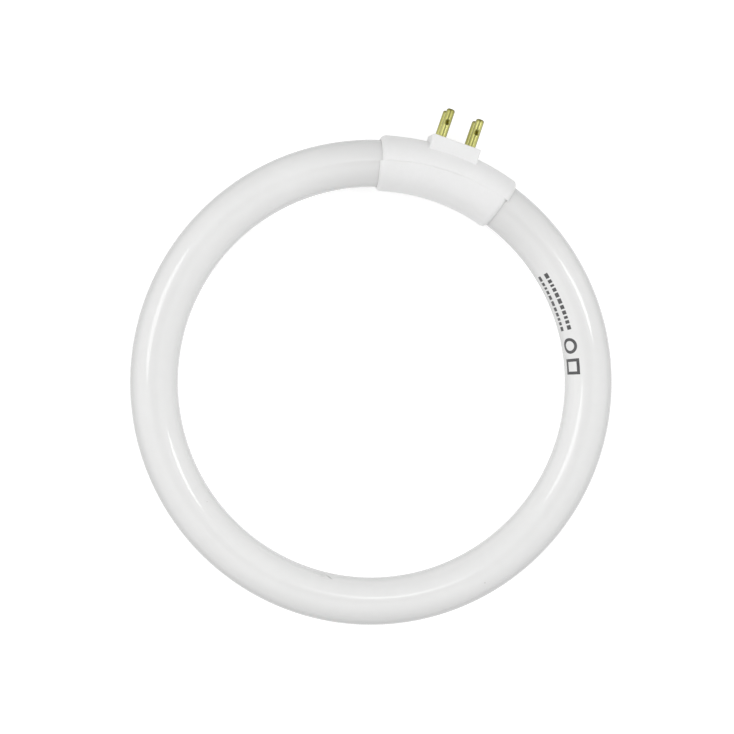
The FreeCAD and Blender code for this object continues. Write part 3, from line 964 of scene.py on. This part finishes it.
@dataclass
class CapShell:
    """One moulded half of the cap, with the pedestal for the pins on the outer half."""

    half: CapHalf
    ring_radius: float
    bore_radius: float
    cap_radius: float
    pin_face: float
    cap_offset: float = 0.12 * MM
    span: float = 34.9
    spare: float = 6.0
    shift: float = 0.62
    end_round: float = 1.4 * MM
    seam_offset: float = 0.8 * MM
    seam_aside: float = 1.4 * MM
    seam_bevel: float = 0.12 * MM
    pedestal_length: float = 12.9 * MM
    pedestal_depth: float = 10.3 * MM
    pedestal_root: float = 6.05 * MM
    pedestal_corner: float = 0.5 * MM
    pedestal_edge: float = 0.3 * MM
    sides: int = 128
    steps: int = 48
    round_steps: int = 10
    corner_steps: int = 8
    edge_steps: int = 4

    def build(self, material: Material) -> None:
        """Build and dress this half of the cap.

        Args:
            material: The plastic finish.
        """
        shell = self._whole_cap()
        if self.half is CapHalf.INNER:
            misfit = Matrix.Rotation(radians(self.shift), 3, "Z")
            bmesh.ops.rotate(shell, cent=(0, 0, 0), matrix=misfit, verts=shell.verts)
        shell = combine(shell, self._other_half(), Joining.CUT)
        if self.half is CapHalf.OUTER:
            shell = combine(shell, self._pedestal(), Joining.ADD)
        shell = combine(shell, self._bore(), Joining.CUT)
        node = f"cap_{self.half.name.lower()}_shell"
        set_out(shell, material, node)

    def _whole_cap(self) -> Solid:
        """Make the cap before it is parted and bored: a bent round bar with rounded ends.

        Returns:
            The whole cap.
        """
        ring = self.ring_radius + self.cap_offset
        end_turn = self.span / 2 - degrees(self.end_round / ring)
        bar = bmesh.new()
        bmesh.ops.create_circle(
            bar, segments=self.sides, radius=self.cap_radius, matrix=upright_at(ring)
        )
        spin_section(bar, CAP_ANGLE - end_turn, 2 * end_turn, self.steps)
        land = self.cap_radius - self.end_round
        profile = quarter_round(land, self.end_round, self.round_steps)
        close_ends(bar, ring, self.cap_radius, radians(end_turn), 1, profile)
        return bar

    def _bore(self) -> Solid:
        """Make the solid that cuts the way for the tube.

        Returns:
            The solid, one step finer than the cap, so that no two edges meet.
        """
        bore = bmesh.new()
        bmesh.ops.create_circle(
            bore, segments=self.sides, radius=self.bore_radius, matrix=upright_at(self.ring_radius)
        )
        turn_section(bore, self.span + self.spare, self.steps + 1)
        return bore

    def _other_half(self) -> Solid:
        """Make the solid that cuts the cap along its seam, with a bevel on both edges.

        Returns:
            The solid, which covers the other half of the cap.
        """
        side = self.half.value
        seam = self.ring_radius + self.seam_offset
        aside = self.seam_offset - self.cap_offset
        flank = sqrt(self.cap_radius**2 - aside**2) - self.seam_bevel
        reach = self.seam_bevel + self.cap_radius - self.bore_radius
        far = self.ring_radius - side * 2 * self.cap_radius
        above = [(seam, flank), (seam + side * reach, flank + reach), (far, flank + reach)]
        outline = above + [(x, -z) for x, z in reversed(above)]
        cutter = bmesh.new()
        corners = [cutter.verts.new((x, 0.0, z)) for x, z in outline]
        for pair in zip(corners, corners[1:] + corners[:1]):
            cutter.edges.new(pair)
        turn_section(cutter, self.span + self.spare, self.steps)
        bmesh.ops.translate(cutter, vec=(self.seam_aside, 0.0, 0.0), verts=cutter.verts)
        return cutter

    def _pedestal(self) -> Solid:
        """Make the block that carries the pins, with rounded corners and a softened rim.

        Returns:
            The block, rooted inside the cap.
        """
        block = bmesh.new()
        bmesh.ops.create_cube(block, size=1.0)
        size = (self.pedestal_length, self.pedestal_root, self.pedestal_depth)
        bmesh.ops.scale(block, vec=size, verts=block.verts)
        centre = (0.0, self.pin_face - self.pedestal_root / 2, 0.0)
        bmesh.ops.translate(block, vec=centre, verts=block.verts)
        corners = [
            edge for edge in block.edges
            if abs(edge.verts[0].co.y - edge.verts[1].co.y) > self.pedestal_edge
        ]
        round_off(block, corners, self.pedestal_corner, self.corner_steps)
        rim = [
            edge for edge in block.edges
            if all(vert.co.y > self.pin_face - WELD for vert in edge.verts)
        ]
        round_off(block, rim, self.pedestal_edge, self.edge_steps)
        return block


@dataclass
class ContactPin:
    """A turned pin, riveted in the pedestal and crimped on its wire."""

    row: str
    side: str
    at: Vector
    radius: float
    length: float
    tip_round: float = 0.55 * MM
    neck_radius: float = 0.75 * MM
    seat_wall: float = 2.0 * MM
    flange_radius: float = 1.3 * MM
    flange_thickness: float = 0.4 * MM
    bore_radius: float = 0.35 * MM
    bore_top: float = 3.2 * MM
    crimp_height: float = 3.9 * MM
    crimp_nose: float = 0.9 * MM
    crimp_depth: float = 0.45 * MM
    sides: int = 96
    shank_cuts: int = 90
    tip_steps: int = 8
    crimp_smoothing: float = 0.5

    def build(self, material: Material, pressed_mark: str) -> None:
        """Build and dress the pin.

        Args:
            material: The brass finish.
            pressed_mark: Name of the attribute that says how deep the crimp is.
        """
        pin = bmesh.new()
        foot = -self.seat_wall - self.flange_thickness
        outline = [
            (0.0, self.bore_top), (self.bore_radius, self.bore_top), (self.bore_radius, foot),
            (self.flange_radius, foot), (self.flange_radius, -self.seat_wall),
            (self.neck_radius, -self.seat_wall), (self.neck_radius, 0.0), (self.radius, 0.0),
            (self.radius, self.length), (0.0, self.length),
        ]
        corners = [pin.verts.new((x, y, 0.0)) for x, y in outline]
        for pair in zip(corners, corners[1:]):
            pin.edges.new(pair)
        round_off(pin, [corners[-2]], self.tip_round, self.tip_steps, affect="VERTICES")
        upright = (
            edge for edge in pin.edges
            if all(abs(vert.co.x - self.radius) < WELD for vert in edge.verts)
        )
        shank = max(upright, key=lambda edge: edge.calc_length())
        bmesh.ops.subdivide_edges(pin, edges=[shank], cuts=self.shank_cuts)
        bmesh.ops.spin(
            pin, geom=pin.verts[:] + pin.edges[:], cent=(0, 0, 0), axis=(0, 1, 0),
            angle=2 * pi, steps=self.sides, use_merge=True, use_duplicate=False,
        )
        bmesh.ops.remove_doubles(pin, verts=pin.verts, dist=WELD)
        self._press_crimp(pin, pressed_mark)
        bmesh.ops.translate(pin, vec=self.at, verts=pin.verts)
        node = f"pin_{self.row}_{self.side}"
        set_out(pin, material, node)

    def _press_crimp(self, pin: Solid, pressed_mark: str) -> None:
        """Press the round-nosed crimp mark into the shank, on the side that faces outwards.

        Args:
            pin: The pin's mesh, about its own foot.
            pressed_mark: Name of the attribute that takes the depth.
        """
        layer = pin.verts.layers.float.new(pressed_mark)
        facing = copysign(1.0, self.at.z)
        punch = self.radius + self.crimp_nose - self.crimp_depth
        dented = []
        for vert in pin.verts:
            aside = vert.co.x**2 + (vert.co.y - self.crimp_height)**2
            height = facing * vert.co.z
            inside = vert.co.xz.length < self.radius - WELD
            if height <= 0.0 or inside or aside >= self.crimp_nose**2:
                continue
            floor = punch - sqrt(self.crimp_nose**2 - aside)
            if height > floor:
                vert[layer] = min(1.0, (height - floor) / self.crimp_depth)
                vert.co.z = facing * floor
                dented.append(vert)
        bmesh.ops.smooth_vert(
            pin, verts=dented, factor=self.crimp_smoothing,
            use_axis_x=False, use_axis_y=False, use_axis_z=True,
        )


@dataclass
class Viewpoint:
    """The camera, placed as the photograph was taken: above, and a little to one side.

    Offsets are where the ring's centre lies from the middle of the picture.
    """

    distance: float = 0.72
    roll: float = 18.95
    lean: float = 7.2
    picture: int = 734
    pixels_per_metre: float = 3944.0
    centre_right: float = 6.2
    centre_down: float = 15.2
    sensor: float = 36.0
    nearest: float = 10.0 * MM

    def axes(self) -> tuple[Vector, Vector, Vector]:
        """Find the picture's own axes.

        Returns:
            The picture's right, its up and the way back to the camera.
        """
        roll, lean = radians(self.roll), radians(self.lean)
        level = Vector((cos(roll), sin(roll), 0.0))
        upright = Vector((0.0, 0.0, 1.0))
        right = level * cos(lean) + upright * sin(lean)
        back = upright * cos(lean) - level * sin(lean)
        return right, back.cross(right), back

    def build(self) -> None:
        """Make the camera and hand it to the scene."""
        right, up, back = self.axes()
        camera = bpy.data.cameras.new("camera")
        camera.sensor_width = self.sensor
        camera.lens = self.sensor * self.distance * self.pixels_per_metre / self.picture
        camera.clip_start = self.nearest
        middle = (up * self.centre_down - right * self.centre_right) / self.pixels_per_metre
        turn = Matrix((right, up, back)).transposed().to_4x4()
        holder = link_object("camera", camera)
        holder.matrix_world = Matrix.Translation(middle + back * self.distance) @ turn
        bpy.context.scene.camera = holder
        LOG.info("camera at %.0f mm, lens %.1f mm", self.distance / MM, camera.lens)


@dataclass
class SoftBox:
    """A soft oval lamp, set by its angles from the camera's line of sight.

    Its aim is a point right and up of the ring's centre.
    """

    name: str
    to_right: float
    upwards: float
    width: float
    height: float
    radiance: float
    distance: float = 0.9
    aim: tuple[float, float] = (0.0, 0.0)
    spread: float = OPEN_SPREAD

    def build(self, viewpoint: Viewpoint) -> None:
        """Hang the lamp and aim it.

        Args:
            viewpoint: The camera that the lamp's angles are taken from.
        """
        right, up, back = viewpoint.axes()
        sideways, above = (tan(radians(turn)) for turn in (self.to_right, self.upwards))
        aside = right * sideways + up * above
        place = (back + aside).normalized() * self.distance
        away = (place - right * self.aim[0] - up * self.aim[1]).normalized()
        across = up.cross(away).normalized()
        light = bpy.data.lights.new(self.name, "AREA")
        light.shape = "ELLIPSE"
        light.size = self.width
        light.size_y = self.height
        light.spread = radians(self.spread)
        area = pi / 4 * self.width * self.height
        light.energy = self.radiance * pi * area / self._focus()
        turn = Matrix((across, away.cross(across), away)).transposed().to_4x4()
        link_object(self.name, light).matrix_world = Matrix.Translation(place) @ turn
        LOG.info("%s hung", self.name)

    def _focus(self) -> float:
        """Return how much brighter a grid of this spread makes the lamp straight ahead."""
        half = radians(self.spread) / 2
        return 1.0 if self.spread >= OPEN_SPREAD else tan(half) / (tan(half) - half)


@dataclass
class Studio:
    """Floor, surrounding light and lamps.

    The sky's slope dims it to the right, and its sides are brighter than its top and bottom.
    """

    ring_radius: float
    tube_radius: float
    cap_radius: float
    floor_reach: float = 4.0
    floor_cells: int = 8
    sky: float = 0.94
    sky_slope: float = 0.1
    sky_sides: float = 0.46
    shade: float = 0.16
    shade_core: float = 14.0
    shade_rim: float = 20.0
    lamps: tuple[SoftBox, ...] = (
        SoftBox(
            "right_softbox", to_right=38.5, upwards=11.5, width=0.25, height=0.13, radiance=5.0
        ),
        SoftBox(
            "left_softbox", to_right=-32.0, upwards=16.5, width=0.29, height=0.46, radiance=3.2
        ),
        SoftBox(
            "overhead_panel", to_right=13.0, upwards=16.0, width=0.3, height=0.15, radiance=4.2,
            aim=(0.0, -0.09), spread=22.0,
        ),
        SoftBox(
            "pin_kicker", to_right=44.2, upwards=12.2, width=0.05, height=0.04, radiance=10.0,
            distance=0.32, aim=(0.023, 0.065), spread=24.0,
        ),
    )

    def build(self, viewpoint: Viewpoint) -> None:
        """Make the floor, the sky and the lamps.

        Args:
            viewpoint: The camera that the lamps are set from.
        """
        self._lay_floor(PaleFloor(self.ring_radius).material())
        self._light_sky(viewpoint)
        for lamp in self.lamps:
            lamp.build(viewpoint)

    def _lay_floor(self, material: Material) -> None:
        """Lay the floor so that it touches the cap and the far side of the ring.

        Args:
            material: The floor's finish.
        """
        floor = bmesh.new()
        cells = self.floor_cells
        bmesh.ops.create_grid(floor, x_segments=cells, y_segments=cells, size=self.floor_reach)
        tilt = (self.cap_radius - self.tube_radius) / (2 * self.ring_radius)
        slope = Matrix.Rotation(-tilt, 3, "X")
        bmesh.ops.rotate(floor, cent=(0, 0, 0), matrix=slope, verts=floor.verts)
        drop = (self.cap_radius + self.tube_radius) / 2
        bmesh.ops.translate(floor, vec=(0.0, 0.0, -drop), verts=floor.verts)
        holder = mesh_object("studio_floor", floor)
        holder.data.materials.append(material)

    def _light_sky(self, viewpoint: Viewpoint) -> None:
        """Surround the lamp with pale light, brighter at its sides and dim behind the camera.

        Args:
            viewpoint: The camera, whose own stand shades the sky behind it.
        """
        world = bpy.data.worlds.new("studio_sky")
        world.use_nodes = True
        bpy.context.scene.world = world
        sheet = NodeSheet(world.node_tree)
        right, up, back = viewpoint.axes()
        towards = sheet.add("ShaderNodeTexCoord").outputs["Generated"]
        aside, above, near = (
            sheet.add(
                "ShaderNodeVectorMath", {0: towards, 1: axis}, operation="DOT_PRODUCT"
            ).outputs["Value"]
            for axis in (right, up, back)
        )
        level = sheet.math("MULTIPLY_ADD", aside, -self.sky_slope, self.sky)
        squares = (sheet.math("MULTIPLY", part, part) for part in (aside, above))
        sides = sheet.math("SUBTRACT", *squares)
        level = sheet.math("MULTIPLY_ADD", sides, self.sky_sides, level)
        rim, core = (cos(radians(angle)) for angle in (self.shade_rim, self.shade_core))
        shade = sheet.ramp(near, (rim, core), (1.0, self.shade))
        strength = sheet.math("MULTIPLY", level, shade)
        background = world.node_tree.nodes["Background"]
        sheet.fill(background, {"Color": grey(1.0), "Strength": strength})


@dataclass
class RingLamp:
    """The whole lamp, with its sizes read from the CAD frame."""

    frame: dict[str, Any]
    bore_clearance: float = 0.1 * MM

    def __post_init__(self) -> None:
        """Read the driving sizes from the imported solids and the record."""
        low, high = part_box("glass_tube")
        self.tube_radius = (high[2] - low[2]) / 2
        self.ring_radius = (high[0] - low[0]) / 2 - self.tube_radius
        low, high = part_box("cap_outer_shell")
        self.cap_radius = (high[2] - low[2]) / 2
        self.pin_face = high[1]
        mounts = {mount["name"]: mount for mount in self.frame["record"]["mounts"]}
        self.pin_radius = mounts["cap_pins"]["dims"]["stud_r_mm"] * MM

    def build(self) -> None:
        """Build and dress every piece of the lamp."""
        glass = PhosphorGlass(self.ring_radius, self.tube_radius).material()
        GlassTube(self.ring_radius, self.tube_radius).build(glass)
        bore_radius = self.tube_radius + self.bore_clearance
        plastic = MouldedPlastic().material()
        for half in CapHalf:
            shell = CapShell(half, self.ring_radius, bore_radius, self.cap_radius, self.pin_face)
            shell.build(plastic)
        brass = TurnedBrass(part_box("pin_front_left")[1][1])
        brass_material = brass.material()
        wire_material = DrawnWire().material()
        for row in ("front", "rear"):
            for side in ("left", "right"):
                low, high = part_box(f"pin_{row}_{side}")
                at = Vector(((low[0] + high[0]) / 2, self.pin_face, (low[2] + high[2]) / 2))
                pin = ContactPin(row, side, at, self.pin_radius, high[1] - self.pin_face)
                pin.build(brass_material, brass.pressed_mark)
                self._dress_wire(f"lead_wire_{row}_{side}", wire_material)

    def _dress_wire(self, node: str, material: Material) -> None:
        """Give a lead wire's CAD node its finish.

        Args:
            node: The node's name.
            material: The wire's finish.
        """
        mesh = self.frame["nodes"][node].data
        mesh.materials.clear()
        mesh.materials.append(material)
        LOG.info("%s dressed", node)


def main() -> None:
    """Load the frame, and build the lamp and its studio."""
    logging.basicConfig(level=logging.INFO, format="%(message)s")
    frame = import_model()
    SharedEffects().build()
    lamp = RingLamp(frame)
    lamp.build()
    viewpoint = Viewpoint()
    viewpoint.build()
    Studio(lamp.ring_radius, lamp.tube_radius, lamp.cap_radius).build(viewpoint)
    bpy.context.scene.view_settings.view_transform = "Standard"


if __name__ == "__main__":
    main()
